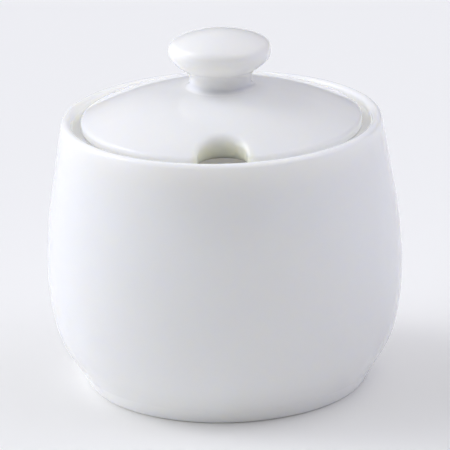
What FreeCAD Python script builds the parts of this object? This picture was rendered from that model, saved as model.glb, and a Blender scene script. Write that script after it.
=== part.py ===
"""Covered sugar bowl in glazed bone china: a pot-bellied bowl, a domed lid with a spoon notch, and a knob.

Millimetres. The origin is the middle of the foot's contact plane, +Z is the axis of revolution and points up,
and the spoon notch faces -Y.
"""
import FreeCAD, Part
import math
import os
import Sketcher

NEAR = 0.01
LEAST_CUT = 50.0

doc = FreeCAD.newDocument("sugar_bowl")
sheet = doc.addObject("Spreadsheet::Sheet", "Dims")
row_count = 0


def dim(alias, number):
    """One driving dimension: a row of the sheet, with its name beside it."""
    global row_count
    row_count += 1
    sheet.set("A%d" % row_count, alias)
    sheet.set("B%d" % row_count, str(number))
    sheet.setAlias("B%d" % row_count, alias)


# Bowl, outside
dim("belly_radius", 47.0)
dim("belly_height", 31.5)
dim("upper_belly_radius", 122.0)
dim("shoulder_height", 51.1)
dim("rim_height", 72.1)
dim("lip_radius", 1.35)
dim("lower_belly_radius", 64.0)
dim("heel_top_height", 17.0)
dim("heel_radius", 28.0)
dim("heel_bottom_height", 8.1)
dim("foot_top_height", 4.2)
dim("foot_radius", 36.9)
dim("foot_inner_radius", 32.8)
dim("foot_recess_depth", 1.8)
dim("recess_radius", 31.6)
# Bowl, inside
dim("wall", 3.0)
dim("floor_height", 5.0)
dim("floor_blend_radius", 12.0)
dim("ledge_height", 69.6)
dim("throat_radius", 33.8)
dim("ledge_thickness", 2.4)
dim("ledge_root_height", 62.6)
# Bowl, roundings
dim("ledge_corner_radius", 0.7)
dim("ledge_nose_radius", 0.8)
dim("ledge_root_radius", 3.0)
dim("foot_edge_radius", 1.2)
dim("foot_inner_edge_radius", 0.7)
dim("foot_kink_radius", 4.0)
# Lid
dim("lid_radius", 36.95)
dim("dome_height", 80.85)
dim("dome_radius", 82.2)
dim("dome_thickness", 3.0)
dim("flange_radius", 33.0)
dim("flange_inner_radius", 29.9)
dim("flange_bottom_height", 65.2)
dim("flange_blend_radius", 14.0)
dim("flange_edge_radius", 1.0)
dim("flange_root_radius", 0.5)
dim("lid_edge_radius", 1.5)
dim("lid_under_edge_radius", 0.7)
# Spoon notch
dim("notch_radius", 6.4)
dim("notch_centre_distance", 35.1)
dim("notch_corner_radius", 2.0)
dim("flange_gap_width", 20.0)
dim("cut_overrun", 4.0)
# Knob
dim("knob_seat_radius", 9.43)
dim("knob_flare_radius", 1.5)
dim("knob_neck_radius", 8.1)
dim("knob_flare_height", 81.8)
dim("knob_under_height", 84.6)
dim("knob_lower_round_radius", 3.6)
dim("knob_under_radius", 13.0)
dim("knob_equator_radius", 13.5)
dim("knob_equator_height", 90.2)
dim("knob_crown_height", 95.3)
dim("knob_crown_radius", 29.0)
dim("knob_neck_blend_radius", 3.6)
doc.recompute()


def val(alias):
    return float(sheet.get(alias))


def body_named(label):
    """One sub-part. Each is drawn where it sits when the lid is on, so its placement is the common frame."""
    body = doc.addObject("PartDesign::Body", label)
    body.Label = label
    body.Placement = FreeCAD.Placement(FreeCAD.Vector(0, 0, 0), FreeCAD.Rotation())
    return body


def sketch_on(body, role, name):
    """A sketch on one of the body's own origin planes."""
    plane = [o for o in body.Origin.OriginFeatures if o.Role == role][0]
    sketch = body.newObject("Sketcher::SketchObject", name)
    sketch.AttachmentSupport = [(plane, "")]
    sketch.MapMode = "FlatFace"
    return sketch


def line(sketch, a, b):
    return sketch.addGeometry(Part.LineSegment(FreeCAD.Vector(*a, 0), FreeCAD.Vector(*b, 0)), False)


def arc(sketch, centre, a, b):
    """The shorter arc about centre from a to b, stored counter-clockwise as the sketcher does."""
    start = math.atan2(a[1] - centre[1], a[0] - centre[0])
    end = math.atan2(b[1] - centre[1], b[0] - centre[0])
    turn = (end - start) % (2 * math.pi)
    if turn > math.pi:
        start, end = end, start
    radius = math.dist(centre, a)
    circle = Part.Circle(FreeCAD.Vector(*centre, 0), FreeCAD.Vector(0, 0, 1), radius)
    return sketch.addGeometry(Part.ArcOfCircle(circle, start, end), False)


def shared_ends(sketch, one, other):
    """Which end of each of two neighbours lies at their common point."""
    best = None
    for i in (1, 2):
        for j in (1, 2):
            gap = sketch.getPoint(one, i).distanceToPoint(sketch.getPoint(other, j))
            if best is None or gap < best[0]:
                best = (gap, i, j)
    return best[1], best[2]


def join(sketch, one, other, smooth=False):
    i, j = shared_ends(sketch, one, other)
    kind = "Tangent" if smooth else "Coincident"
    sketch.addConstraint(Sketcher.Constraint(kind, one, i, other, j))


def fix(sketch, name, kind, refs, rule):
    """A driving dimension of the sketch, bound to the sheet by an expression."""
    index = sketch.addConstraint(Sketcher.Constraint(kind, *refs, float(sheet.evalExpression(rule))))
    sketch.renameConstraint(index, name)
    sketch.setExpression("Constraints." + name, rule)


def end_of(sketch, one, other):
    """The point where two neighbours meet, as an end of the first."""
    return one, shared_ends(sketch, one, other)[0]


def height(sketch, name, point, rule):
    fix(sketch, name, "DistanceY", (-1, 1, *point), rule)


def reach(sketch, name, point, rule):
    fix(sketch, name, "DistanceX", (-1, 1, *point), rule)


def radius(sketch, name, index, rule):
    fix(sketch, name, "Radius", (index,), rule)


def level(sketch, index):
    sketch.addConstraint(Sketcher.Constraint("Horizontal", index))


def upright(sketch, index):
    sketch.addConstraint(Sketcher.Constraint("Vertical", index))


def on_axis(sketch, point):
    sketch.addConstraint(Sketcher.Constraint("PointOnObject", *point, -2))


def turned(body, sketch, name):
    """The profile turned once about the axis."""
    solid = body.newObject("PartDesign::Revolution", name)
    solid.Profile = sketch
    solid.ReferenceAxis = (sketch, ["V_Axis"])
    solid.Angle = 360
    return solid


def ring_edges(shape, ring_radius, ring_height):
    """Names of the circular edges about the axis with that radius and height."""
    names = []
    for number, edge in enumerate(shape.Edges, 1):
        if edge.Degenerated or not isinstance(edge.Curve, Part.Circle):
            continue
        curve = edge.Curve
        if abs(curve.Radius - ring_radius) < NEAR and abs(curve.Center.z - ring_height) < NEAR:
            names.append("Edge%d" % number)
    return names


def rounded(body, base, edges, rule, name):
    """A fillet on named edges of the feature before it."""
    fillet = body.newObject("PartDesign::Fillet", name)
    fillet.Base = (base, edges)
    fillet.setExpression("Radius", rule)
    doc.recompute()
    return fillet


def cut_away(body, profile, name):
    """An upward pocket from the body's base plane, not yet sized."""
    pocket = body.newObject("PartDesign::Pocket", name)
    pocket.Profile = profile
    pocket.Reversed = True
    return pocket


def must_have_cut(pocket, before):
    """Compares volumes, because a pocket that points away from the solid cuts nothing and shows no error."""
    doc.recompute()
    if before.Shape.Volume - pocket.Shape.Volume < LEAST_CUT:
        raise RuntimeError("%s removes nothing" % pocket.Label)


# ---------------------------------------------------------------- bowl
belly_r = val("belly_radius")
belly_z = val("belly_height")
upper_r = val("upper_belly_radius")
lower_r = val("lower_belly_radius")
heel_r = val("heel_radius")
wall = val("wall")


def belly_curve(inset):
    """Centres and joints of the belly's three arcs, for the outside (inset 0) or the inside (inset wall)."""
    upper_c = (belly_r - upper_r, belly_z)
    lower_c = (belly_r - lower_r, belly_z)
    up = math.asin((val("shoulder_height") - belly_z) / upper_r)
    down = math.asin((belly_z - val("heel_top_height")) / lower_r)
    heel_c = (lower_c[0] + (lower_r - heel_r) * math.cos(down), belly_z - (lower_r - heel_r) * math.sin(down))
    top = (upper_c[0] + (upper_r - inset) * math.cos(up), belly_z + (upper_r - inset) * math.sin(up))
    low = (lower_c[0] + (lower_r - inset) * math.cos(down), belly_z - (lower_r - inset) * math.sin(down))
    return upper_c, lower_c, heel_c, top, (belly_r - inset, belly_z), low, up


bowl = body_named("bowl")
profile = sketch_on(bowl, "XZ_Plane", "bowl_profile")
upper_c, lower_c, heel_c, top_out, belly_out, low_out, lean = belly_curve(0)
heel_sin = (heel_c[1] - val("heel_bottom_height")) / heel_r
heel_low = (heel_c[0] + heel_r * math.sqrt(1 - heel_sin ** 2), val("heel_bottom_height"))
kink_x = heel_low[0] - (heel_low[1] - val("foot_top_height")) * heel_sin / math.sqrt(1 - heel_sin ** 2)
kink = (kink_x, val("foot_top_height"))
lip_c_z = val("rim_height") - val("lip_radius")
lip_c_x = top_out[0] - (lip_c_z - top_out[1]) * math.tan(lean) - val("lip_radius") / math.cos(lean)
lip_c = (lip_c_x, lip_c_z)
lip_out = (lip_c_x + val("lip_radius") * math.cos(lean), lip_c_z + val("lip_radius") * math.sin(lean))
lip_in = (lip_c_x - val("lip_radius"), lip_c_z)
ledge_out = (lip_in[0], val("ledge_height"))
ledge_nose = (val("throat_radius"), val("ledge_height"))
ledge_under = (val("throat_radius"), val("ledge_height") - val("ledge_thickness"))
top_in, belly_in, low_in = belly_curve(wall)[3:6]
root = (top_in[0] - (val("ledge_root_height") - top_in[1]) * math.tan(lean), val("ledge_root_height"))
blend_r = val("floor_blend_radius")
blend_c_z = val("floor_height") + blend_r
blend_reach = heel_r - wall - blend_r
blend_sin = (heel_c[1] - blend_c_z) / blend_reach
blend_cos = math.sqrt(1 - blend_sin ** 2)
blend_c = (heel_c[0] + blend_reach * blend_cos, blend_c_z)
blend_top = (heel_c[0] + (heel_r - wall) * blend_cos, heel_c[1] - (heel_r - wall) * blend_sin)
blend_low = (blend_c[0], val("floor_height"))
recess_end = (val("recess_radius"), val("foot_recess_depth"))
foot_in = (val("foot_inner_radius"), 0.0)
foot_out = (val("foot_radius"), 0.0)
base_mid = (0.0, val("foot_recess_depth"))
floor_mid = (0.0, val("floor_height"))

base = line(profile, base_mid, recess_end)
foot_wall = line(profile, recess_end, foot_in)
contact = line(profile, foot_in, foot_out)
foot_side = line(profile, foot_out, kink)
cone = line(profile, kink, heel_low)
heel = arc(profile, heel_c, heel_low, low_out)
lower = arc(profile, lower_c, low_out, belly_out)
upper = arc(profile, upper_c, belly_out, top_out)
shoulder = line(profile, top_out, lip_out)
lip = arc(profile, lip_c, lip_out, lip_in)
gallery = line(profile, lip_in, ledge_out)
ledge = line(profile, ledge_out, ledge_nose)
nose = line(profile, ledge_nose, ledge_under)
ledge_slope = line(profile, ledge_under, root)
inner_shoulder = line(profile, root, top_in)
inner_upper = arc(profile, upper_c, top_in, belly_in)
inner_lower = arc(profile, lower_c, belly_in, low_in)
inner_heel = arc(profile, heel_c, low_in, blend_top)
floor_blend = arc(profile, blend_c, blend_top, blend_low)
floor = line(profile, blend_low, floor_mid)
middle = line(profile, floor_mid, base_mid)

for one, other in ((base, foot_wall), (foot_wall, contact), (contact, foot_side), (foot_side, cone),
                   (gallery, ledge), (ledge, nose), (nose, ledge_slope), (ledge_slope, inner_shoulder),
                   (floor, middle), (middle, base)):
    join(profile, one, other)
for one, other in ((cone, heel), (heel, lower), (lower, upper), (upper, shoulder), (shoulder, lip),
                   (lip, gallery), (inner_shoulder, inner_upper), (inner_upper, inner_lower),
                   (inner_lower, inner_heel), (inner_heel, floor_blend), (floor_blend, floor)):
    join(profile, one, other, smooth=True)
for flat in (base, contact, ledge, floor):
    level(profile, flat)
for tall in (gallery, nose, middle):
    upright(profile, tall)
on_axis(profile, (middle, 1))

height(profile, "recess_depth", end_of(profile, base, middle), "Dims.foot_recess_depth")
reach(profile, "recess_reach", end_of(profile, base, foot_wall), "Dims.recess_radius")
reach(profile, "foot_inner_reach", end_of(profile, contact, foot_wall), "Dims.foot_inner_radius")
profile.addConstraint(Sketcher.Constraint("PointOnObject", *end_of(profile, contact, foot_wall), -1))
reach(profile, "foot_reach", end_of(profile, contact, foot_side), "Dims.foot_radius")
height(profile, "kink_height", end_of(profile, foot_side, cone), "Dims.foot_top_height")
height(profile, "heel_low_height", end_of(profile, cone, heel), "Dims.heel_bottom_height")
radius(profile, "heel_size", heel, "Dims.heel_radius")
height(profile, "heel_high_height", end_of(profile, heel, lower), "Dims.heel_top_height")
radius(profile, "lower_size", lower, "Dims.lower_belly_radius")
height(profile, "belly_level", (lower, 3), "Dims.belly_height")
height(profile, "belly_point_level", end_of(profile, lower, upper), "Dims.belly_height")
reach(profile, "belly_reach", end_of(profile, lower, upper), "Dims.belly_radius")
radius(profile, "upper_size", upper, "Dims.upper_belly_radius")
height(profile, "shoulder_level", end_of(profile, upper, shoulder), "Dims.shoulder_height")
radius(profile, "lip_size", lip, "Dims.lip_radius")
height(profile, "lip_level", (lip, 3), "Dims.rim_height - Dims.lip_radius")
height(profile, "ledge_level", end_of(profile, ledge, nose), "Dims.ledge_height")
reach(profile, "throat_reach", end_of(profile, ledge, nose), "Dims.throat_radius")
height(profile, "nose_low_level", end_of(profile, nose, ledge_slope),
       "Dims.ledge_height - Dims.ledge_thickness")
height(profile, "ledge_root_level", end_of(profile, ledge_slope, inner_shoulder), "Dims.ledge_root_height")
height(profile, "inner_shoulder_level", end_of(profile, inner_shoulder, inner_upper),
       "Dims.belly_height + (Dims.shoulder_height - Dims.belly_height)"
       " * (Dims.upper_belly_radius - Dims.wall) / Dims.upper_belly_radius")
radius(profile, "inner_upper_size", inner_upper, "Dims.upper_belly_radius - Dims.wall")
height(profile, "inner_belly_level", (inner_lower, 3), "Dims.belly_height")
height(profile, "inner_belly_point_level", end_of(profile, inner_upper, inner_lower), "Dims.belly_height")
reach(profile, "inner_belly_reach", end_of(profile, inner_upper, inner_lower),
      "Dims.belly_radius - Dims.wall")
radius(profile, "inner_lower_size", inner_lower, "Dims.lower_belly_radius - Dims.wall")
height(profile, "inner_heel_level", end_of(profile, inner_lower, inner_heel),
       "Dims.belly_height - (Dims.belly_height - Dims.heel_top_height)"
       " * (Dims.lower_belly_radius - Dims.wall) / Dims.lower_belly_radius")
radius(profile, "inner_heel_size", inner_heel, "Dims.heel_radius - Dims.wall")
radius(profile, "floor_blend_size", floor_blend, "Dims.floor_blend_radius")
height(profile, "floor_level", end_of(profile, floor, middle), "Dims.floor_height")
doc.recompute()
bowl_turned = turned(bowl, profile, "bowl_turned")
doc.recompute()

ledge_corner_edges = ring_edges(bowl_turned.Shape, ledge_out[0], val("ledge_height"))
ledge_corner = rounded(bowl, bowl_turned, ledge_corner_edges, "Dims.ledge_corner_radius", "ledge_corner")
nose_edges = ring_edges(ledge_corner.Shape, val("throat_radius"), val("ledge_height"))
nose_low = val("ledge_height") - val("ledge_thickness")
nose_edges += ring_edges(ledge_corner.Shape, val("throat_radius"), nose_low)
ledge_nose_round = rounded(bowl, ledge_corner, nose_edges, "Dims.ledge_nose_radius", "ledge_nose_round")
ledge_root_edges = ring_edges(ledge_nose_round.Shape, root[0], val("ledge_root_height"))
ledge_root = rounded(bowl, ledge_nose_round, ledge_root_edges, "Dims.ledge_root_radius", "ledge_root")
foot_edges = ring_edges(ledge_root.Shape, val("foot_radius"), 0)
foot_edge = rounded(bowl, ledge_root, foot_edges, "Dims.foot_edge_radius", "foot_edge")
foot_inner_edges = ring_edges(foot_edge.Shape, val("foot_inner_radius"), 0)
foot_inner_edges += ring_edges(foot_edge.Shape, val("recess_radius"), val("foot_recess_depth"))
foot_inner_edge = rounded(bowl, foot_edge, foot_inner_edges, "Dims.foot_inner_edge_radius", "foot_inner_edge")
kink_edges = ring_edges(foot_inner_edge.Shape, kink[0], val("foot_top_height"))
foot_kink = rounded(bowl, foot_inner_edge, kink_edges, "Dims.foot_kink_radius", "foot_kink")

# ---------------------------------------------------------------- lid
lid = body_named("lid")
section = sketch_on(lid, "XZ_Plane", "lid_section")
dome_r = val("dome_radius")
dome_c = (0.0, val("dome_height") - dome_r)
under_r = dome_r - val("dome_thickness")
flange_blend = val("flange_blend_radius")


def on_dome(x, sphere_radius):
    return x, dome_c[1] + math.sqrt(sphere_radius ** 2 - x ** 2)


crown_seat = on_dome(val("knob_seat_radius"), dome_r)
dome_edge = on_dome(val("lid_radius"), dome_r)
under_mid = (0.0, dome_c[1] + under_r)
rim_low = (val("lid_radius"), val("ledge_height"))
seat_in = (val("flange_radius"), val("ledge_height"))
flange_out = (val("flange_radius"), val("flange_bottom_height"))
flange_in = (val("flange_inner_radius"), val("flange_bottom_height"))


def hollow_blend_centre():
    """Centre of the arc from the flange's inner foot to the dome's underside, touching it from inside."""
    reach_r = under_r - flange_blend
    span = math.dist(dome_c, flange_in)
    along = (reach_r ** 2 - flange_blend ** 2 + span ** 2) / (2 * span)
    aside = math.sqrt(reach_r ** 2 - along ** 2)
    ux = (flange_in[0] - dome_c[0]) / span
    uz = (flange_in[1] - dome_c[1]) / span
    return dome_c[0] + along * ux - aside * uz, dome_c[1] + along * uz + aside * ux


hollow_c = hollow_blend_centre()
touch = under_r / (under_r - flange_blend)
hollow_top = (dome_c[0] + (hollow_c[0] - dome_c[0]) * touch, dome_c[1] + (hollow_c[1] - dome_c[1]) * touch)

dome = arc(section, dome_c, crown_seat, dome_edge)
rim_side = line(section, dome_edge, rim_low)
seat = line(section, rim_low, seat_in)
flange_side = line(section, seat_in, flange_out)
flange_bottom = line(section, flange_out, flange_in)
hollow = arc(section, hollow_c, flange_in, hollow_top)
under = arc(section, dome_c, hollow_top, under_mid)
lid_middle = line(section, under_mid, (0.0, crown_seat[1]))
crown = line(section, (0.0, crown_seat[1]), crown_seat)

for one, other in ((dome, rim_side), (rim_side, seat), (seat, flange_side), (flange_side, flange_bottom),
                   (flange_bottom, hollow), (under, lid_middle), (lid_middle, crown), (crown, dome)):
    join(section, one, other)
join(section, hollow, under, smooth=True)
for flat in (seat, flange_bottom, crown):
    level(section, flat)
for tall in (rim_side, flange_side, lid_middle):
    upright(section, tall)
on_axis(section, (lid_middle, 1))
on_axis(section, (dome, 3))
section.addConstraint(Sketcher.Constraint("Coincident", dome, 3, under, 3))
radius(section, "dome_size", dome, "Dims.dome_radius")
height(section, "under_level", end_of(section, lid_middle, under), "Dims.dome_height - Dims.dome_thickness")
fix(section, "dome_depth", "DistanceY", (dome, 3, *end_of(section, lid_middle, under)),
    "Dims.dome_radius - Dims.dome_thickness")
reach(section, "crown_reach", end_of(section, crown, dome), "Dims.knob_seat_radius")
reach(section, "lid_reach", end_of(section, rim_side, seat), "Dims.lid_radius")
height(section, "seat_level", end_of(section, rim_side, seat), "Dims.ledge_height")
reach(section, "flange_reach", end_of(section, flange_side, flange_bottom), "Dims.flange_radius")
height(section, "flange_level", end_of(section, flange_side, flange_bottom), "Dims.flange_bottom_height")
reach(section, "flange_inner_reach", end_of(section, flange_bottom, hollow), "Dims.flange_inner_radius")
radius(section, "hollow_size", hollow, "Dims.flange_blend_radius")
doc.recompute()
lid_turned = turned(lid, section, "lid_turned")
doc.recompute()

bottom_edges = ring_edges(lid_turned.Shape, val("flange_radius"), val("flange_bottom_height"))
bottom_edges += ring_edges(lid_turned.Shape, val("flange_inner_radius"), val("flange_bottom_height"))
flange_edge = rounded(lid, lid_turned, bottom_edges, "Dims.flange_edge_radius", "flange_edge")
flange_root_edges = ring_edges(flange_edge.Shape, val("flange_radius"), val("ledge_height"))
flange_root = rounded(lid, flange_edge, flange_root_edges, "Dims.flange_root_radius", "flange_root")

# The flange stops short of the notch, which lets a spoon's handle down through the throat
gap_plan = sketch_on(lid, "XY_Plane", "flange_gap_plan")
half_gap = val("flange_gap_width") / 2
gap_front = -val("lid_radius") - val("cut_overrun")
gap_back = -val("notch_centre_distance") / 2
corners = ((-half_gap, gap_front), (half_gap, gap_front), (half_gap, gap_back), (-half_gap, gap_back))
sides = []
for number in range(4):
    sides.append(line(gap_plan, corners[number], corners[(number + 1) % 4]))
for number in range(4):
    join(gap_plan, sides[number], sides[(number + 1) % 4])
level(gap_plan, sides[0])
level(gap_plan, sides[2])
upright(gap_plan, sides[1])
upright(gap_plan, sides[3])
fix(gap_plan, "gap_half", "DistanceX", (-1, 1, sides[1], 1), "Dims.flange_gap_width / 2")
fix(gap_plan, "gap_width", "DistanceX", (sides[0], 1, sides[0], 2), "Dims.flange_gap_width")
fix(gap_plan, "gap_front", "DistanceY", (sides[0], 1, -1, 1), "Dims.lid_radius + Dims.cut_overrun")
fix(gap_plan, "gap_back", "DistanceY", (sides[2], 1, -1, 1), "Dims.notch_centre_distance / 2")
doc.recompute()
flange_gap = cut_away(lid, gap_plan, "flange_gap")
flange_gap.Type = "Length"
flange_gap.setExpression("Length", "Dims.ledge_height")
flange_gap.Refine = True
must_have_cut(flange_gap, flange_root)

notch_plan = sketch_on(lid, "XY_Plane", "notch_plan")
notch_r = val("notch_radius")
notch_y = -val("notch_centre_distance")
notch_front = gap_front
half_turn = Part.Circle(FreeCAD.Vector(0, notch_y, 0), FreeCAD.Vector(0, 0, 1), notch_r)
tip = notch_plan.addGeometry(Part.ArcOfCircle(half_turn, 0, math.pi), False)
left_flank = line(notch_plan, (-notch_r, notch_y), (-notch_r, notch_front))
mouth = line(notch_plan, (-notch_r, notch_front), (notch_r, notch_front))
right_flank = line(notch_plan, (notch_r, notch_front), (notch_r, notch_y))
join(notch_plan, tip, left_flank, smooth=True)
join(notch_plan, left_flank, mouth)
join(notch_plan, mouth, right_flank)
join(notch_plan, right_flank, tip, smooth=True)
level(notch_plan, mouth)
upright(notch_plan, left_flank)
upright(notch_plan, right_flank)
on_axis(notch_plan, (tip, 3))
radius(notch_plan, "notch_size", tip, "Dims.notch_radius")
fix(notch_plan, "notch_distance", "DistanceY", (tip, 3, -1, 1), "Dims.notch_centre_distance")
fix(notch_plan, "mouth_distance", "DistanceY", (mouth, 1, -1, 1), "Dims.lid_radius + Dims.cut_overrun")
doc.recompute()
notch = cut_away(lid, notch_plan, "notch")
notch.Type = "ThroughAll"
must_have_cut(notch, flange_gap)


def picked_edges(shape, wanted):
    """Names of the edges for which wanted says yes."""
    names = []
    for number, edge in enumerate(shape.Edges, 1):
        if not edge.Degenerated and wanted(edge):
            names.append("Edge%d" % number)
    return names


def at_notch_corner(edge):
    """An upright edge where a flank of the notch meets the lid's side."""
    ends = [v.Point for v in edge.Vertexes]
    if len(ends) < 2 or math.dist(ends[0][:2], ends[1][:2]) > NEAR:
        return False
    return ends[0].y < notch_y and abs(math.hypot(ends[0].x, ends[0].y) - val("lid_radius")) < NEAR


def on_lid_rim(edge):
    """A round edge with the lid's own radius."""
    return isinstance(edge.Curve, Part.Circle) and abs(edge.Curve.Radius - val("lid_radius")) < NEAR


def on_top_rim(edge):
    """The round edge between the dome and the lid's outer side."""
    return on_lid_rim(edge) and edge.BoundBox.ZMin > val("ledge_height") + NEAR


def on_under_rim(edge):
    """The round edge between the seat and the lid's outer side."""
    return on_lid_rim(edge) and edge.BoundBox.ZMax < val("ledge_height") + NEAR


notch_corner_edges = picked_edges(notch.Shape, at_notch_corner)
notch_corner = rounded(lid, notch, notch_corner_edges, "Dims.notch_corner_radius", "notch_corner")
top_edges = picked_edges(notch_corner.Shape, on_top_rim)
lid_edge = rounded(lid, notch_corner, top_edges, "Dims.lid_edge_radius", "lid_edge")
under_edges = picked_edges(lid_edge.Shape, on_under_rim)
lid_under_edge = rounded(lid, lid_edge, under_edges, "Dims.lid_under_edge_radius", "lid_under_edge")

# ---------------------------------------------------------------- knob
knob = body_named("lid_knob")
outline = sketch_on(knob, "XZ_Plane", "knob_outline")
equator_r = val("knob_equator_radius")
equator_z = val("knob_equator_height")
crown_z = val("knob_crown_height")
crown_r = val("knob_crown_radius")
crown_c = (0.0, crown_z - crown_r)
drop = equator_z - crown_c[1]
round_r = (crown_r ** 2 - drop ** 2 - equator_r ** 2) / (2 * (crown_r - equator_r))
round_c = (equator_r - round_r, equator_z)
crown_touch = crown_r / math.dist(crown_c, round_c)
crown_end = (round_c[0] * crown_touch, crown_c[1] + drop * crown_touch)
crown_top = (0.0, crown_z)
equator = (equator_r, equator_z)
lower_round_r = val("knob_lower_round_radius")
lower_round_c = (equator_r - lower_round_r, equator_z)
neck_r = val("knob_neck_radius")
under_end = (neck_r, val("knob_under_height"))
flare_r = val("knob_flare_radius")
flare_c = (neck_r + flare_r, val("knob_flare_height"))
flare_top = (neck_r, val("knob_flare_height"))
under_knob_r = val("knob_under_radius")
span = math.dist(lower_round_c, under_end)
along_x = (under_end[0] - lower_round_c[0]) / span
along_z = (under_end[1] - lower_round_c[1]) / span
reach_r = under_knob_r - lower_round_r
along = (reach_r ** 2 - under_knob_r ** 2 + span ** 2) / (2 * span)
aside = math.sqrt(reach_r ** 2 - along ** 2)
under_c = (lower_round_c[0] + along * along_x + aside * along_z,
           lower_round_c[1] + along * along_z - aside * along_x)
under_start = (lower_round_c[0] + (lower_round_c[0] - under_c[0]) * lower_round_r / reach_r,
               lower_round_c[1] + (lower_round_c[1] - under_c[1]) * lower_round_r / reach_r)
seat_mid = (0.0, crown_seat[1])
flare_drop = flare_c[1] - crown_seat[1]
flare_foot = (flare_c[0] - math.sqrt(flare_r ** 2 - flare_drop ** 2), crown_seat[1])

top = arc(outline, crown_c, crown_top, crown_end)
upper_round = arc(outline, round_c, crown_end, equator)
lower_round = arc(outline, lower_round_c, equator, under_start)
underside = arc(outline, under_c, under_start, under_end)
neck = line(outline, under_end, flare_top)
flare = arc(outline, flare_c, flare_top, flare_foot)
knob_seat = line(outline, flare_foot, seat_mid)
knob_middle = line(outline, seat_mid, crown_top)
for one, other in ((underside, neck), (flare, knob_seat), (knob_seat, knob_middle), (knob_middle, top)):
    join(outline, one, other)
for one, other in ((top, upper_round), (upper_round, lower_round), (lower_round, underside), (neck, flare)):
    join(outline, one, other, smooth=True)
level(outline, knob_seat)
upright(outline, neck)
upright(outline, knob_middle)
on_axis(outline, (knob_middle, 1))
on_axis(outline, (top, 3))
radius(outline, "crown_size", top, "Dims.knob_crown_radius")
height(outline, "crown_level", end_of(outline, knob_middle, top), "Dims.knob_crown_height")
height(outline, "round_level", (upper_round, 3), "Dims.knob_equator_height")
height(outline, "equator_level", end_of(outline, upper_round, lower_round), "Dims.knob_equator_height")
reach(outline, "equator_reach", end_of(outline, upper_round, lower_round), "Dims.knob_equator_radius")
radius(outline, "lower_round_size", lower_round, "Dims.knob_lower_round_radius")
radius(outline, "under_size", underside, "Dims.knob_under_radius")
reach(outline, "neck_reach", end_of(outline, neck, underside), "Dims.knob_neck_radius")
height(outline, "under_level", end_of(outline, neck, underside), "Dims.knob_under_height")
radius(outline, "flare_size", flare, "Dims.knob_flare_radius")
height(outline, "flare_level", (flare, 3), "Dims.knob_flare_height")
height(outline, "seat_level", end_of(outline, knob_seat, knob_middle),
       "Dims.dome_height - Dims.dome_radius + sqrt(Dims.dome_radius ^ 2 - Dims.knob_seat_radius ^ 2)")
doc.recompute()
knob_turned = turned(knob, outline, "knob_turned")
doc.recompute()
neck_edges = ring_edges(knob_turned.Shape, neck_r, val("knob_under_height"))
knob_neck_blend = rounded(knob, knob_turned, neck_edges, "Dims.knob_neck_blend_radius", "knob_neck_blend")

# ---------------------------------------------------------------- checks and output
for item in doc.Objects:
    if "Invalid" in item.State or "Error" in item.State:
        raise RuntimeError("%s is %s" % (item.Label, item.State))
os.makedirs("parts", exist_ok=True)
for piece in (bowl, lid, knob):
    shape = piece.Shape
    if shape.isNull() or not shape.isValid() or len(shape.Solids) != 1:
        raise RuntimeError("%s has no single valid solid" % piece.Label)
    box = shape.BoundBox
    print("%s  %.1f cm3  x %.2f..%.2f  z %.2f..%.2f" % (piece.Label, shape.Volume / 1000,
                                                        box.XMin, box.XMax, box.ZMin, box.ZMax))
    shape.exportStep("parts/%s.step" % piece.Label)
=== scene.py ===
"""Looks of a covered sugar bowl in glazed bone china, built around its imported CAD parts.

Lengths in the code are millimetres until a mesh is made; the meshes are in metres, in the CAD frame.
"""
import math
import bmesh
import bpy
import numpy as np
from mathutils import Matrix, Vector
from mathutils.geometry import delaunay_2d_cdt


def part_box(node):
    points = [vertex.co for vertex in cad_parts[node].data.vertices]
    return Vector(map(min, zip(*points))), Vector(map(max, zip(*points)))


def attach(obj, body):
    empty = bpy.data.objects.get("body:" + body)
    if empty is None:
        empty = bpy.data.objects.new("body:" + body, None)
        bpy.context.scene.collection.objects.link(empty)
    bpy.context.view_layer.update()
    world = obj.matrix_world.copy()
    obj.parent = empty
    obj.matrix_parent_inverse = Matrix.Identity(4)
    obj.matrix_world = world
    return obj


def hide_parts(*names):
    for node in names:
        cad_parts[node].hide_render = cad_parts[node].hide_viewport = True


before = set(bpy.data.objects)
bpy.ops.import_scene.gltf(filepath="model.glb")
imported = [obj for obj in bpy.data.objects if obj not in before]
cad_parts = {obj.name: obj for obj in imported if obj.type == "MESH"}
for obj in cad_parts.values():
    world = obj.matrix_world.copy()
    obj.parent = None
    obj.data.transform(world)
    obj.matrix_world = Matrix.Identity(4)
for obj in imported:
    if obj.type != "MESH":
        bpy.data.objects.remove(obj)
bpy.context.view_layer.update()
MM = 0.001


def node_box(name):
    low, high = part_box(name)
    return low / MM, high / MM


bowl_low, bowl_high = node_box("bowl")
lid_low, lid_high = node_box("lid")
knob_low, knob_high = node_box("lid_knob")

# ------------------------------------------------------------------ sizes
BELLY = (bowl_high.x - bowl_low.x) / 2
RIM = bowl_high.z
BELLY_Z = 31.5
UPPER, LOWER, HEEL = 122.0, 64.0, 28.0
SHOULDER_Z, HEEL_TOP_Z, HEEL_LOW_Z = 51.1, 17.0, 8.1
LIP = 1.35
WALL = 3.0
FLOOR_Z, FLOOR_BLEND = 5.0, 12.0
RECESS_R, RECESS_Z = 31.6, 1.8
FOOT_IN, FOOT_OUT = 32.8, 36.9
FOOT_ROUND, FOOT_EDGE = 0.7, 1.2
KINK_Z, KINK_ROUND = 4.2, 4.0
THROAT, GALLERY_ROUND = 33.8, 0.7
LEDGE_Z, LEDGE_THICK, LEDGE_ROUND = 69.6, 2.4, 0.8
LEDGE_ROOT_Z, ROOT_ROUND = 62.6, 3.0
LID_R = (lid_high.x - lid_low.x) / 2
SEAT_Z = lid_high.z
DOME, CROWN = 82.2, 80.85
DOME_EVEN = 22.0
LID_THICK = 3.0
FLANGE_R, FLANGE_IN, FLANGE_Z = 33.0, 29.9, lid_low.z
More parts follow.
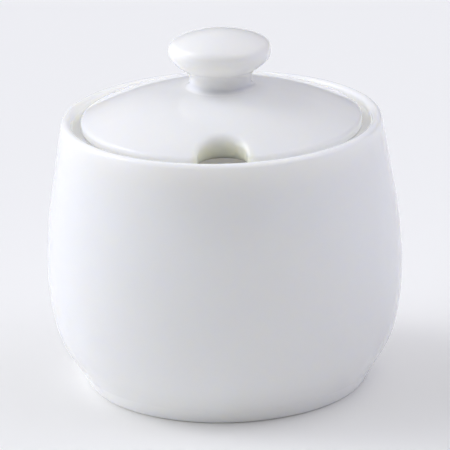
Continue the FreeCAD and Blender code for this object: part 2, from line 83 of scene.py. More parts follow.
FLANGE_ROOT_ROUND, FLANGE_OUT_ROUND, FLANGE_IN_ROUND = 0.5, 1.0, 0.9
FLANGE_LEAN, FLANGE_FOOT_TURN = 1.2, 0.10
FLANGE_END = math.radians(2.6)
HOLLOW_BLEND = 14.0
EDGE, CORNER_EDGE, NOTCH_EDGE = 1.5, 1.1, 2.9
EDGE_EASE = math.radians(9)
UNDER_EDGE = 0.55
NOTCH_R, NOTCH_D, NOTCH_CORNER = 6.4, 35.1, 2.0
GAP_HALF = 10.0
KNOB_R = (knob_high.x - knob_low.x) / 2
KNOB_Z, KNOB_TOP, KNOB_CROWN = 90.2, knob_high.z, 29.0
KNOB_LOWER, KNOB_UNDER, KNOB_UNDER_Z = 3.6, 13.0, 84.6
NECK, NECK_BLEND = 8.1, 3.6
FLARE, FLARE_Z = 1.5, 81.8
SEAT_R = 9.43
AXIS_GAP = 0.02


# ------------------------------------------------------------------ outlines
def arc(centre, radius, start, end, step):
    """Points along an arc from angle start to angle end, both in radians, no further apart than step."""
    count = max(3, math.ceil(abs(end - start) * radius / step))
    points = []
    for i in range(count + 1):
        a = start + (end - start) * i / count
        points.append((centre[0] + radius * math.cos(a), centre[1] + radius * math.sin(a)))
    return points


def angle_to(centre, point):
    return math.atan2(point[1] - centre[1], point[0] - centre[0])


def corner(before, at, after, radius, count=8):
    """A rounded corner between two straight runs."""
    p, a, b = Vector(at), Vector(before), Vector(after)
    u, v = (a - p).normalized(), (b - p).normalized()
    half = u.angle(v) / 2
    centre = p + (u + v).normalized() * (radius / math.sin(half))
    reach = radius / math.tan(half)
    start, end = p + u * reach, p + v * reach
    first, last = angle_to(centre, start), angle_to(centre, end)
    turn = (last - first + math.pi) % (2 * math.pi) - math.pi
    points = []
    for i in range(count + 1):
        t = first + turn * i / count
        points.append((centre.x + radius * math.cos(t), centre.y + radius * math.sin(t)))
    return points


def run(a, b, step):
    """Points between a and b, ends left out."""
    count = math.ceil(math.dist(a, b) / step)
    return [(a[0] + (b[0] - a[0]) * i / count, a[1] + (b[1] - a[1]) * i / count) for i in range(1, count)]


def chain(pieces, step):
    """Joins outline pieces, with straight runs of points in between."""
    points = []
    for piece in pieces:
        if points and math.dist(points[-1], piece[0]) > step:
            points += run(points[-1], piece[0], step)
        for p in piece:
            if not points or math.dist(points[-1], p) > 1e-4:
                points.append(p)
    return points


def belly():
    """The centres of the belly's upper, lower and heel arcs, and how far the upper and lower ones turn."""
    up = math.asin((SHOULDER_Z - BELLY_Z) / UPPER)
    down = math.asin((BELLY_Z - HEEL_TOP_Z) / LOWER)
    upper_c = (BELLY - UPPER, BELLY_Z)
    lower_c = (BELLY - LOWER, BELLY_Z)
    heel_c = (lower_c[0] + (LOWER - HEEL) * math.cos(down), BELLY_Z - (LOWER - HEEL) * math.sin(down))
    return upper_c, lower_c, heel_c, up, down


def bowl_outline():
    """The bowl's section, from the underside of its floor round the outside and back down the inside."""
    upper_c, lower_c, heel_c, up, down = belly()
    heel_turn = math.asin((heel_c[1] - HEEL_LOW_Z) / HEEL)
    heel_low = (heel_c[0] + HEEL * math.cos(heel_turn), HEEL_LOW_Z)
    kink = (heel_low[0] - (HEEL_LOW_Z - KINK_Z) * math.tan(heel_turn), KINK_Z)
    shoulder = (upper_c[0] + UPPER * math.cos(up), SHOULDER_Z)
    lip_z = RIM - LIP
    lip_c = (shoulder[0] - (lip_z - SHOULDER_Z) * math.tan(up) - LIP / math.cos(up), lip_z)
    gallery = lip_c[0] - LIP
    root_x = upper_c[0] + (UPPER - WALL) * math.cos(up)
    root_x -= (LEDGE_ROOT_Z - BELLY_Z - (UPPER - WALL) * math.sin(up)) * math.tan(up)
    root = (root_x, LEDGE_ROOT_Z)
    inner_top = (upper_c[0] + (UPPER - WALL) * math.cos(up), BELLY_Z + (UPPER - WALL) * math.sin(up))
    blend_z = FLOOR_Z + FLOOR_BLEND
    blend_turn = math.asin((heel_c[1] - blend_z) / (HEEL - WALL - FLOOR_BLEND))
    blend_c = (heel_c[0] + (HEEL - WALL - FLOOR_BLEND) * math.cos(blend_turn), blend_z)
    recess, foot_in, foot_out = (RECESS_R, RECESS_Z), (FOOT_IN, 0.0), (FOOT_OUT, 0.0)
    nose_top, nose_low = (THROAT, LEDGE_Z), (THROAT, LEDGE_Z - LEDGE_THICK)
    pieces = [
        [(0.0, RECESS_Z)],
        corner((0, RECESS_Z), recess, foot_in, FOOT_ROUND, count=6),
        corner(recess, foot_in, foot_out, FOOT_ROUND),
        corner(foot_in, foot_out, kink, FOOT_EDGE, count=10),
        corner(foot_out, kink, heel_low, KINK_ROUND, count=4),
        arc(heel_c, HEEL, -heel_turn, -down, step=0.9),
        arc(lower_c, LOWER, -down, 0, step=1.2),
        arc(upper_c, UPPER, 0, up, step=1.6),
        arc(lip_c, LIP, up, math.pi, step=0.28),
        corner((gallery, RIM), (gallery, LEDGE_Z), nose_top, GALLERY_ROUND, count=6),
        corner((gallery, LEDGE_Z), nose_top, nose_low, LEDGE_ROUND, count=6),
        corner(nose_top, nose_low, root, LEDGE_ROUND, count=6),
        corner(nose_low, root, inner_top, ROOT_ROUND, count=6),
        arc(upper_c, UPPER - WALL, up, 0, step=2.2),
        arc(lower_c, LOWER - WALL, 0, -down, step=2.0),
        arc(heel_c, HEEL - WALL, -down, -blend_turn, step=1.4),
        arc(blend_c, FLOOR_BLEND, -blend_turn, -math.pi / 2, step=1.4),
        [(0.0, FLOOR_Z)],
    ]
    return chain(pieces, 2.4)


def knob_outline():
    """The knob's section, from its top over the equator and down the neck to the flare's foot."""
    crown_c = (0.0, KNOB_TOP - KNOB_CROWN)
    drop = KNOB_Z - crown_c[1]
    upper = (KNOB_CROWN ** 2 - drop ** 2 - KNOB_R ** 2) / (2 * (KNOB_CROWN - KNOB_R))
    upper_c = (KNOB_R - upper, KNOB_Z)
    turn = angle_to(crown_c, upper_c)
    lower_c = Vector((KNOB_R - KNOB_LOWER, KNOB_Z))
    under_end = Vector((NECK, KNOB_UNDER_Z))
    along = (under_end - lower_c).normalized()
    span = (under_end - lower_c).length
    reach = KNOB_UNDER - KNOB_LOWER
    ahead = (reach ** 2 - KNOB_UNDER ** 2 + span ** 2) / (2 * span)
    aside = math.sqrt(reach ** 2 - ahead ** 2)
    under_c = lower_c + along * ahead + Vector((along.y, -along.x)) * aside
    leave = angle_to(under_c, lower_c)
    blend_x = NECK + NECK_BLEND
    blend_c = (blend_x, under_c.y - math.sqrt((KNOB_UNDER + NECK_BLEND) ** 2 - (blend_x - under_c.x) ** 2))
    flare_c = (NECK + FLARE, FLARE_Z)
    flare_end = math.pi + math.asin((FLARE_Z - SEAT_Z) / FLARE)
    pieces = [
        [(0.0, KNOB_TOP)],
        arc(crown_c, KNOB_CROWN, math.pi / 2 - AXIS_GAP, turn, step=0.6),
        arc(upper_c, upper, turn, 0, step=0.32),
        arc(lower_c, KNOB_LOWER, 0, leave, step=0.4),
        arc(under_c, KNOB_UNDER, leave, angle_to(under_c, blend_c), step=0.6),
        arc(blend_c, NECK_BLEND, angle_to(blend_c, under_c), math.pi, step=0.3),
        arc(flare_c, FLARE, math.pi, flare_end, step=0.2),
        [(0.0, SEAT_Z)],
    ]
    return chain(pieces, 1.2)


# ------------------------------------------------------------------ meshes
def finish_mesh(name, points, faces, crease=math.radians(50)):
    """Makes a piece from points in millimetres; edges steeper than crease stay sharp."""
    mesh = bpy.data.meshes.new(name)
    mesh.from_pydata([(p[0] * MM, p[1] * MM, p[2] * MM) for p in points], [], faces)
    mesh.validate()
    for polygon in mesh.polygons:
        polygon.use_smooth = True
    build = bmesh.new()
    build.from_mesh(mesh)
    bmesh.ops.recalc_face_normals(build, faces=build.faces)
    for edge in build.edges:
        edge.smooth = len(edge.link_faces) == 2 and edge.calc_face_angle(0) < crease
    build.to_mesh(mesh)
    build.free()
    piece = bpy.data.objects.new(name, mesh)
    bpy.context.scene.collection.objects.link(piece)
    return piece


def lathe(name, outline, columns=192):
    """Turns an outline that starts and ends on the axis."""
    points = [(0.0, 0.0, outline[0][1])]
    faces = []
    rings = outline[1:-1]
    for x, z in rings:
        for c in range(columns):
            a = 2 * math.pi * c / columns
            points.append((x * math.cos(a), x * math.sin(a), z))
    last = len(points)
    points.append((0.0, 0.0, outline[-1][1]))
    for c in range(columns):
        n = (c + 1) % columns
        faces.append((0, 1 + n, 1 + c))
        for r in range(len(rings) - 1):
            low, high = 1 + r * columns, 1 + (r + 1) * columns
            faces.append((low + c, low + n, high + n, high + c))
        end = 1 + (len(rings) - 1) * columns
        faces.append((last, end + c, end + n))
    return finish_mesh(name, points, faces)


def eased(share):
    return share * share * (3 - 2 * share)


def lid_edge_line():
    """The lid's plan outline with its notch: points, outward normals, each column's angle on the crown and
    the radius of its edge.
    """
    reach = LID_R - NOTCH_CORNER
    cy = -(NOTCH_D ** 2 + reach ** 2 - (NOTCH_R + NOTCH_CORNER) ** 2) / (2 * NOTCH_D)
    cx = math.sqrt(reach ** 2 - cy ** 2)
    first = math.atan2(cy, cx)
    last = math.pi - first
    meet = math.atan2(cy + NOTCH_D, cx)
    points, normals, crown, edge = [], [], [], []

    def spread(start, end, count):
        return np.linspace(start, end, count, endpoint=False)

    def on_circle(x, y, radius, a, facing=1):
        points.append((x + radius * math.cos(a), y + radius * math.sin(a)))
        normals.append((facing * math.cos(a), facing * math.sin(a)))

    # round the rim, from one side of the notch to the other, with columns closer together next to the notch
    rim = [*spread(first, first + EDGE_EASE, 14),
           *spread(first + EDGE_EASE, last - EDGE_EASE, 150),
           *spread(last - EDGE_EASE, last, 14)]
    for a in rim:
        on_circle(0, 0, LID_R, a)
        crown.append(a)
        nearness = max(0.0, 1 - min(a - first, last - a) / EDGE_EASE)
        edge.append(EDGE + (CORNER_EDGE - EDGE) * eased(nearness))
    # round one corner, the notch and the other corner
    for a in spread(last, 2 * math.pi - meet, 9):
        on_circle(-cx, cy, NOTCH_CORNER, a)
    for a in spread(math.pi - meet, meet, 30):
        on_circle(0, -NOTCH_D, NOTCH_R, a, facing=-1)
    for a in spread(math.pi + meet, 2 * math.pi + first, 9):
        on_circle(cx, cy, NOTCH_CORNER, a)
    mouth = points[len(rim):]
    for i, (x, y) in enumerate(mouth):
        crown.append(last + (2 * math.pi + first - last) * i / len(mouth))
        aside = min(1.0, abs(x) / NOTCH_R) ** 3 if y > -NOTCH_D else 1.0
        edge.append(NOTCH_EDGE + (CORNER_EDGE - NOTCH_EDGE) * aside)
    return np.array(points), np.array(normals), np.array(crown), np.array(edge)


def fitted_rings(inner, outer, count, held, rounds=1500, pace=0.8):
    """Rings between two closed lines with the same columns, spread by Winslow's equations so that none cross.

    The columns marked in held stay straight.
    """
    t = np.linspace(0, 1, count)[:, None, None]
    grid = inner[None] * (1 - t) + outer[None] * t
    straight = grid.copy()
    for _ in range(rounds):
        east, west = np.roll(grid, -1, 1), np.roll(grid, 1, 1)
        along = (east - west)[1:-1] / 2
        across = (grid[2:] - grid[:-2]) / 2
        alpha = (across ** 2).sum(-1, keepdims=True)
        gamma = (along ** 2).sum(-1, keepdims=True)
        beta = (along * across).sum(-1, keepdims=True)
        mixed = (east[2:] - west[2:] - east[:-2] + west[:-2]) / 4
        new = alpha * (east + west)[1:-1] + gamma * (grid[2:] + grid[:-2]) - 2 * beta * mixed
        grid[1:-1] += pace * (new / (2 * (alpha + gamma)) - grid[1:-1])
        grid[:, held] = straight[:, held]
    return grid


def filling(inner, outer, gap):
    """Fills the plan between a round line and the line outside it, with loose points about gap apart.

    Returns the loose points and the triangles, whose numbers count inner's points, then outer's, then the
    loose ones.
    """
    inner_r = math.dist(inner[0], (0, 0))
    loose = []
    for ring, r in enumerate(np.arange(inner_r + gap, LID_R, gap)):
        turns = np.arange(0, 2 * math.pi, gap / r) + ring % 2 * gap / r / 2
        for p in np.stack([r * np.cos(turns), r * np.sin(turns)], 1):
            if ((outer - p) ** 2).sum(1).min() > (gap / 2) ** 2:
                loose.append(p)
    count = len(inner)
    loops = [[start + c for c in range(count)] for start in (0, count)]
    edges = [(loop[c], loop[(c + 1) % count]) for loop in loops for c in range(count)]
    places = [Vector(p) for p in [*inner, *outer, *loose]]
    inside_only, same_point = 1, 1e-5
    found = delaunay_2d_cdt(places, edges, [loops[1]], inside_only, same_point)
    triangles = []
    for face in found[2]:
        corners = [found[3][v][0] for v in face]
        middle = sum((places[c] for c in corners), Vector((0, 0))) / 3
        if max(corners) >= count and middle.length > inner_r - gap / 20:
            triangles.append(corners)
    used = sorted({c for corners in triangles for c in corners if c >= 2 * count})
    renumber = {c: 2 * count + i for i, c in enumerate(used)}
    triangles = [[renumber.get(c, c) for c in corners] for corners in triangles]
    return np.array([places[c] for c in used]), triangles


def dome_z(plan, radius):
    """The height of a dome that shares the lid's centre, above points in plan."""
    return CROWN - DOME + np.sqrt(radius ** 2 - (plan ** 2).sum(-1))


def ring_at(plan, z):
    return np.concatenate([plan, np.broadcast_to(z, plan.shape[:1])[:, None]], 1)


def lid_top(line, normal, edge, on):
    """Rings from the knob's seat to the dome's even part, then the edge's, with the dome between left open.

    Returns both lists of rings, and the line where the dome meets the edge.
    """
    dome = [ring_at(on * r, SEAT_Z) for r in (2.5, 6.0, SEAT_R)]
    dome += [ring_at(on * r, dome_z(on * r, DOME)) for r in np.linspace(SEAT_R, DOME_EVEN, 11)[1:]]
    inside = line - normal * edge[:, None]
    fall = -(inside * normal).sum(1) / np.sqrt(DOME ** 2 - (inside ** 2).sum(1))
    tilt = np.sqrt(1 + fall ** 2)
    brow = line - normal * (edge * (1 + fall / tilt))[:, None]
    centre_z = dome_z(brow, DOME) - edge / tilt
    start = np.arctan2(1 / tilt, -fall / tilt)
    side = [ring_at(brow, dome_z(brow, DOME))]
    for share in np.arange(1, 11) / 10:
        a = start * (1 - share)
        side.append(ring_at(line - normal * (edge * (1 - np.cos(a)))[:, None], centre_z + edge * np.sin(a)))
    wall_low = LEDGE_Z + UNDER_EDGE
    for share in np.arange(1, 5) / 4:
        side.append(ring_at(line, centre_z + (wall_low - centre_z) * share))
    for a in math.pi / 2 * np.arange(1, 6) / 5:
        turned_in = UNDER_EDGE * (1 - math.cos(a))
        side.append(ring_at(line - normal * turned_in, LEDGE_Z + UNDER_EDGE * (1 - math.sin(a))))
    return dome, side, brow


def lid_underside(line, normal, crown, on):
    """Rings over the flat seat, the locating flange with its gap behind the notch, and the hollow."""
    under_r = DOME - LID_THICK
    base = CROWN - DOME
    span = math.dist((0, base), (FLANGE_IN, FLANGE_Z))
    ahead = ((under_r - HOLLOW_BLEND) ** 2 - HOLLOW_BLEND ** 2 + span ** 2) / (2 * span)
    aside = math.sqrt((under_r - HOLLOW_BLEND) ** 2 - ahead ** 2)
    ux, uz = FLANGE_IN / span, (FLANGE_Z - base) / span
    hollow_c = (ahead * ux - aside * uz, base + ahead * uz + aside * ux)
    crease = hollow_c[0] + math.sqrt(HOLLOW_BLEND ** 2 - (LEDGE_Z - hollow_c[1]) ** 2)
    seat_end = LID_R - UNDER_EDGE
    foot_angle = angle_to(hollow_c, (FLANGE_IN, FLANGE_Z))
    crease_angle = angle_to(hollow_c, (crease, LEDGE_Z))
    root, outer, inner = (FLANGE_R, LEDGE_Z), (FLANGE_R, FLANGE_Z), (FLANGE_IN, FLANGE_Z)
    up_inside = (FLANGE_IN - FLANGE_LEAN, FLANGE_Z + 2 * FLANGE_LEAN)
    ridge = chain([
        [(seat_end, LEDGE_Z)],
        corner((seat_end, LEDGE_Z), root, outer, FLANGE_ROOT_ROUND, count=3),
        corner(root, outer, inner, FLANGE_OUT_ROUND, count=6),
        corner(outer, inner, up_inside, FLANGE_IN_ROUND, count=5),
        arc(hollow_c, HOLLOW_BLEND, foot_angle + FLANGE_FOOT_TURN, crease_angle, step=0.6),
    ], 1.0)
    # the flange fades out to the flat seat on both sides of its gap
    from_notch = crown + math.pi / 2
    from_notch = np.abs(from_notch - 2 * math.pi * np.round(from_notch / (2 * math.pi)))
    gap_end = math.asin(GAP_HALF / FLANGE_R)
    share = eased(np.clip((from_notch - gap_end) / FLANGE_END, 0, 1))
    flat = fitted_rings(on * crease, line - normal * UNDER_EDGE, len(ridge), from_notch > gap_end)[::-1]
    rings = []
    for seat, (r, z) in zip(flat[1:], ridge[1:]):
        plan = seat * (1 - share)[:, None] + on * r * share[:, None]
        rings.append(ring_at(plan, LEDGE_Z + (z - LEDGE_Z) * share))
    touch = under_r / (under_r - HOLLOW_BLEND)
    hollow_r = hollow_c[0] * touch
    top_angle = angle_to(hollow_c, (hollow_r, base + (hollow_c[1] - base) * touch))
    blend = arc(hollow_c, HOLLOW_BLEND, crease_angle, top_angle, step=1.0)
    rings += [ring_at(on * r, z) for r, z in blend[1:]]
    rings += [ring_at(on * r, dome_z(on * r, under_r)) for r in np.linspace(hollow_r, 0, 11)[1:-1]]
    return rings, base + under_r


def lid_piece():
    """The lid as one closed skin, from the crown over the edge to the middle of its hollow."""
    line, normal, crown, edge = lid_edge_line()
    on = np.stack([np.cos(crown), np.sin(crown)], 1)
    dome, side, brow = lid_top(line, normal, edge, on)
    under, hollow_top = lid_underside(line, normal, crown, on)
    loose, filled = filling(on * DOME_EVEN, brow, 1.1)
    rings = dome + side + under
    columns = len(line)
    points = [(0.0, 0.0, SEAT_Z)]
    for ring in rings:
        points += [tuple(p) for p in ring]
    last = len(points)
    points.append((0.0, 0.0, hollow_top))
    points += [(x, y, z) for (x, y), z in zip(loose, dome_z(loose, DOME))]
    faces = []
    for c in range(columns):
        n = (c + 1) % columns
        faces.append((0, 1 + c, 1 + n))
        for r in range(len(rings) - 1):
            low, high = 1 + r * columns, 1 + (r + 1) * columns
            if r != len(dome) - 1:
                faces.append((low + c, high + c, high + n, low + n))
        end = last - columns
        faces.append((last, end + n, end + c))
    ring_start = 1 + (len(dome) - 1) * columns
    loose_start = last + 1 - 2 * columns
    for corners in filled:
        faces.append([c + (ring_start if c < 2 * columns else loose_start) for c in corners])
    return finish_mesh("lid_glazed", points, faces)


bowl = lathe("bowl_glazed", bowl_outline())
lid = lid_piece()
knob = lathe("lid_knob_glazed", knob_outline(), 128)

# ------------------------------------------------------------------ materials
class Nodes:
    """Short calls for building one material's node tree."""

    def __init__(self, name):
        self.material = bpy.data.materials.new(name)
        self.material.use_nodes = True
        self.tree = self.material.node_tree
        self.shader = self.tree.nodes["Principled BSDF"]
        self.place = self.tree.nodes.new("ShaderNodeTexCoord").outputs["Object"]

    def add(self, kind, **settings):
        node = self.tree.nodes.new("ShaderNode" + kind)
        for key, value in settings.items():
            setattr(node, key, value)
        return node

    def feed(self, socket, value):
        if isinstance(value, bpy.types.NodeSocket):
            self.tree.links.new(value, socket)
        else:
            socket.default_value = value

    def math(self, operation, a, b=0.0):
        node = self.add("Math", operation=operation)
        self.feed(node.inputs[0], a)
        self.feed(node.inputs[1], b)
        return node.outputs[0]

    def distance(self, x, y):
        """How far the point (x, y) is from the origin."""
        return self.math("SQRT", self.math("ADD", self.math("MULTIPLY", x, x), self.math("MULTIPLY", y, y)))

    def noise(self, size, detail=2.0, roughness=0.5):
        """Smooth noise between about 0.3 and 0.7, with features of the given size in millimetres."""
        node = self.add("TexNoise")
        self.feed(node.inputs["Vector"], self.place)
        node.inputs["Scale"].default_value = 1 / (size * MM)
        node.inputs["Detail"].default_value = detail
        node.inputs["Roughness"].default_value = roughness
        return node.outputs["Fac"]

    def span(self, value, low, high, to_low=0.0, to_high=1.0):
        """value's range low to high mapped to another, smoothly and clamped."""
        node = self.add("MapRange", interpolation_type="SMOOTHSTEP")
        self.feed(node.inputs["Value"], value)
        node.inputs["From Min"].default_value = low
        node.inputs["From Max"].default_value = high
        node.inputs["To Min"].default_value = to_low
        node.inputs["To Max"].default_value = to_high
        return node.outputs["Result"]

    def blend(self, share, a, b):
        node = self.add("Mix", data_type="RGBA")
        self.feed(node.inputs["Factor"], share)
        self.feed(node.inputs["A"], a)
        self.feed(node.inputs["B"], b)
        return node.outputs["Result"]

    def bump(self, height, distance, strength=1.0, under=None):
        node = self.add("Bump")
        node.inputs["Strength"].default_value = strength
        node.inputs["Distance"].default_value = distance * MM
        self.feed(node.inputs["Height"], height)
        if under is not None:
            self.feed(node.inputs["Normal"], under)
        return node.outputs["Normal"]


# linear colours: the china where its glaze is thin and thick; a painted warm shade tint low in the notch;
# specks; bare band
THIN, THICK = (0.930, 0.925, 0.895, 1), (0.916, 0.911, 0.882, 1)
# inside, a little yellower than outside: a painted warm shade tint for the shaded hollow
THIN_INSIDE, THICK_INSIDE = (0.935, 0.926, 0.865, 1), (0.925, 0.916, 0.850, 1)
NOTCH_SHADE_TINT = (0.96, 0.94, 0.72, 1)
SPECK = (0.30, 0.25, 0.19, 1)
BARE_LIGHT = (0.80, 0.775, 0.72, 1)
BARE_DARK = (0.70, 0.665, 0.60, 1)

# the bare band's edges, from the axis and from the table
BARE_IN, BARE_OUT = 33.0, 36.6
BARE_LOW, BARE_HIGH = 0.35, 0.6
# sizes of the patterns in the glaze, and the share of cells with a speck
CLOUD_SIZE, SPECK_SPACING, SPECK_SHARE = 38.0, 11.0, 0.16
HAZE_SIZE, RIPPLE_SIZE, PEEL_SIZE, SAND_SIZE = 16.0, 9.0, 1.3, 0.35
# roughness where the glaze is clear, hazy, and missing
GLOSSY, HAZY, MATT = 0.055, 0.12, 0.72
# how far light wanders in the body, seen from outside and from inside
OUTSIDE_GLOW, INSIDE_GLOW = 3.0, 12.0


def bare_foot(n, z, from_axis):
    """1 on the band that stands on the table, wiped clean of glaze before the glost firing; 0 elsewhere."""
    wander = n.math("MULTIPLY", n.math("SUBTRACT", n.noise(7.0), 0.5), 0.5 * MM)
    low = n.span(n.math("ADD", z, wander), BARE_LOW * MM, BARE_HIGH * MM, 1.0, 0.0)
    past_inner = n.span(from_axis, (BARE_IN - 0.1) * MM, (BARE_IN + 0.1) * MM)
    short_of_outer = n.span(from_axis, (BARE_OUT - 0.1) * MM, (BARE_OUT + 0.1) * MM, 1.0, 0.0)
    return n.math("MULTIPLY", low, n.math("MULTIPLY", past_inner, short_of_outer))


def notch_shade_mask(n, x, y, z):
    """Where the painted warm shade tint goes: 1 low on the walls of the lid's spoon notch, fading out up the
    walls and over the rolled edge.
    """
    off_notch = n.distance(x, n.math("ADD", y, NOTCH_D * MM))
    near = n.span(off_notch, (NOTCH_R + 0.1) * MM, (NOTCH_R + 2.4) * MM, 1.0, 0.0)
    low = n.span(z, (LEDGE_Z + 0.5) * MM, (LEDGE_Z + 6.5) * MM, 1.0, 0.0)
    return n.math("MULTIPLY", near, low)


def iron_specks(n):
    """The strength of a few small specks, one in about every sixth cell."""
    cells = n.add("TexVoronoi")
    n.feed(cells.inputs["Vector"], n.place)
    cells.inputs["Scale"].default_value = 1 / (SPECK_SPACING * MM)
    dot = n.span(cells.outputs["Distance"], 0.012, 0.026, 1.0, 0.0)
    pick = n.add("SeparateColor")
    n.feed(pick.inputs[0], cells.outputs["Color"])
    chosen = n.math("GREATER_THAN", pick.outputs[0], 1 - SPECK_SHARE)
    return n.math("MULTIPLY", n.math("MULTIPLY", dot, chosen), 0.55)


def glazed_china(name, glow, thin, thick, notch_shade=None):
    """White bone china under a clear gloss glaze, with a bare band on the foot ring.

    glow is how far red light wanders in the body, in millimetres. thin and thick are the glaze's colours,
    and notch_shade is a painted warm shade tint laid low on the walls of the lid's spoon notch.
    """
    n = Nodes(name)
    split = n.add("SeparateXYZ")
    n.feed(split.inputs[0], n.place)
    x, y, z = split.outputs
    from_axis = n.distance(x, y)
    bare = bare_foot(n, z, from_axis)
    # colour: faintly clouded white, a painted warm shade tint low in the notch where given, specks, and sandy
    # china on the bare band
    white = n.blend(n.span(n.noise(CLOUD_SIZE, 3.0), 0.36, 0.64), thin, thick)
    if notch_shade is not None:
        # painted shade: a warm yellow tint low on the notch walls, standing in for the olive shade there
        white = n.blend(notch_shade_mask(n, x, y, z), white, notch_shade)
    grain = n.noise(SAND_SIZE, 3.0, 0.7)
    sandy = n.blend(n.span(grain, 0.35, 0.65), BARE_DARK, BARE_LIGHT)
    colour = n.blend(bare, n.blend(iron_specks(n), white, SPECK), sandy)
    n.feed(n.shader.inputs["Base Color"], colour)
    # gloss: even, with a faint haze in patches; the bare band is matt
    haze = n.span(n.noise(HAZE_SIZE, 4.0, 0.6), 0.4, 0.68, GLOSSY, HAZY)
    n.feed(n.shader.inputs["Roughness"], n.math("MAXIMUM", haze, n.math("MULTIPLY", bare, MATT)))
    # relief: the glaze's slow ripple, its fine orange peel and the bare band's grain
    ripple = n.bump(n.noise(RIPPLE_SIZE, 1.0), 0.05)
    peel = n.bump(n.noise(PEEL_SIZE, 2.0), 0.0032, 1.0, ripple)
    n.feed(n.shader.inputs["Normal"], n.bump(n.math("MULTIPLY", grain, bare), 0.06, 1.0, peel))
    n.shader.inputs["IOR"].default_value = 1.5
    # the body glows a little, but not across the line where the knob is stuck on, as both are closed skins
    off_seam = n.distance(n.math("SUBTRACT", from_axis, SEAT_R * MM), n.math("SUBTRACT", z, SEAT_Z * MM))
    n.feed(n.shader.inputs["Subsurface Weight"], n.span(off_seam, 0.5 * MM, 2.0 * MM))
    n.shader.inputs["Subsurface Radius"].default_value = (1.0, 0.95, 0.8)
    n.shader.inputs["Subsurface Scale"].default_value = glow * MM
    return n.material


china = glazed_china("glazed_china", OUTSIDE_GLOW, THIN, THICK)
china_lid = glazed_china("glazed_china_lid", OUTSIDE_GLOW, THIN, THICK, NOTCH_SHADE_TINT)
china_inside = glazed_china("glazed_china_inside", INSIDE_GLOW, THIN_INSIDE, THICK_INSIDE)


FACING_UP, FLOOR_MARGIN, LEDGE_MARGIN = 0.7, 0.2, 0.5


def line_inside(piece):
    """Gives the hollow's faces, under the ledge, the material that lets light in through the thin wall and
    whose slightly yellower colour is a painted warm shade tint.
    """
    piece.data.materials.append(china_inside)
    for polygon in piece.data.polygons:
        middle, out = polygon.center / MM, polygon.normal
        facing_in = middle.x * out.x + middle.y * out.y < 0 or out.z > FACING_UP
        if facing_in and FLOOR_Z - FLOOR_MARGIN < middle.z < LEDGE_Z - LEDGE_MARGIN:
            polygon.material_index = 1


for piece, body, node, material in (
    (bowl, "bowl_body", "bowl", china),
    (lid, "lid_body", "lid", china_lid),
    (knob, "lid_body", "lid_knob", china),
):
    piece.data.materials.append(material)
    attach(piece, body)
    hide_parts(node)
line_inside(bowl)

# ------------------------------------------------------------------ stage, light and camera
# camera: sizes in fiftieths of the belly's radius, so that the view keeps its framing if the bowl is resized
VIEW_UNIT = BELLY / 50 * MM
VIEW_AWAY, VIEW_RISE, VIEW_ROLL = 1200.0, math.radians(19.04), math.radians(-1.485)
VIEW_CENTRE, AIM_RIGHT, AIM_UP = 40.0, 0.23, 44.5
IMAGE_WIDTH, PIXELS_PER_UNIT = 450, 3.55
FILM_WIDTH = 36
FLOOR_HALF = 6.0


def add_camera():
    """A long lens on the notch's side, 19 degrees above the horizon and rolled by a degree and a half."""
    low, high = VIEW_AWAY * math.cos(VIEW_RISE), VIEW_CENTRE + VIEW_AWAY * math.sin(VIEW_RISE)
    place = Vector((0, -low, high)) * VIEW_UNIT
    aim = Vector((AIM_RIGHT, 0, AIM_UP)) * VIEW_UNIT
    ahead = (aim - place).normalized()
    right = ahead.cross(Vector((0, 0, 1))).normalized()
    up = right.cross(ahead)
    side = right * math.cos(VIEW_ROLL) + up * math.sin(VIEW_ROLL)
    top = up * math.cos(VIEW_ROLL) - right * math.sin(VIEW_ROLL)
    lens = bpy.data.cameras.new("camera")
    lens.sensor_width = FILM_WIDTH
    lens.lens = PIXELS_PER_UNIT * VIEW_AWAY / IMAGE_WIDTH * FILM_WIDTH
    lens.clip_end = 100
    camera = bpy.data.objects.new("camera", lens)
    camera.matrix_world = Matrix.Translation(place) @ Matrix((side, top, -ahead)).transposed().to_4x4()
    bpy.context.scene.collection.objects.link(camera)
    bpy.context.scene.camera = camera


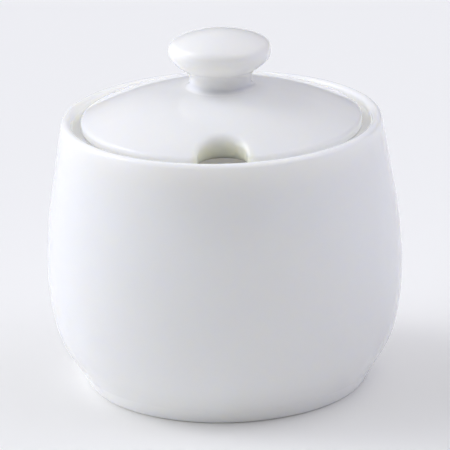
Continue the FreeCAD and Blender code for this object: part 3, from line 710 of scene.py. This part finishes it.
def add_floor():
    mesh = bpy.data.meshes.new("floor")
    corners = [(x * FLOOR_HALF, y * FLOOR_HALF, 0) for x, y in ((-1, -1), (1, -1), (1, 1), (-1, 1))]
    mesh.from_pydata(corners, [], [(0, 1, 2, 3)])
    floor = bpy.data.objects.new("floor", mesh)
    bpy.context.scene.collection.objects.link(floor)
    material = bpy.data.materials.new("floor_white")
    material.use_nodes = True
    shader = material.node_tree.nodes["Principled BSDF"]
    shader.inputs["Base Color"].default_value = (0.91, 0.905, 0.88, 1)
    shader.inputs["Roughness"].default_value = 0.6
    shader.inputs["Specular IOR Level"].default_value = 0.2
    mesh.materials.append(material)


def studio_world(glows):
    """Soft light from all round.

    Each glow has the direction of its middle, how tight it is, and its strength in red, green and blue.
    """
    world = bpy.data.worlds.new("studio")
    bpy.context.scene.world = world
    world.use_nodes = True
    tree = world.node_tree

    def add(kind, operation, *values):
        """A math node whose inputs are sockets or plain values, taken in order."""
        node = tree.nodes.new("ShaderNode" + kind)
        node.operation = operation
        for socket, value in zip(node.inputs, values):
            if isinstance(value, bpy.types.NodeSocket):
                tree.links.new(value, socket)
            else:
                socket.default_value = value
        return node

    toward = tree.nodes.new("ShaderNodeTexCoord").outputs["Generated"]
    total = None
    for middle, tightness, strength in glows:
        dot = add("VectorMath", "DOT_PRODUCT", toward, Vector(middle).normalized()).outputs["Value"]
        falloff = add("Math", "POWER", add("Math", "MAXIMUM", dot, 0.0).outputs[0], tightness).outputs[0]
        tinted = add("VectorMath", "SCALE", strength)
        tree.links.new(falloff, tinted.inputs["Scale"])
        glow = tinted.outputs[0]
        total = glow if total is None else add("VectorMath", "ADD", total, glow).outputs[0]
    tree.links.new(total, tree.nodes["Background"].inputs["Color"])


LEFT_SIDE = ((-0.97, 0.2, 0.15), 4, (2.55, 2.64, 3.05))
LEFT_SOFTBOX = ((-0.69, 0.2, 0.68), 40, (4.3, 4.3, 4.3))
RIGHT_ABOVE = ((0.6, 0, 0.8), 6, (1.7, 1.72, 1.75))
BEHIND = ((0, 0.8, 0.6), 3, (0.42, 0.41, 0.44))
RIGHT_SIDE_BLUE = ((0.98, 0, 0.2), 4, (0, 0, 0.26))
FRONT_ABOVE = ((0, -0.5, 0.87), 3, (0.42, 0.42, 0.42))

add_camera()
add_floor()
studio_world([LEFT_SIDE, LEFT_SOFTBOX, RIGHT_ABOVE, BEHIND, RIGHT_SIDE_BLUE, FRONT_ABOVE])
bpy.context.scene.view_settings.view_transform = "Standard"
bpy.context.scene.cycles.max_bounces = 16
bpy.context.scene.cycles.diffuse_bounces = 12
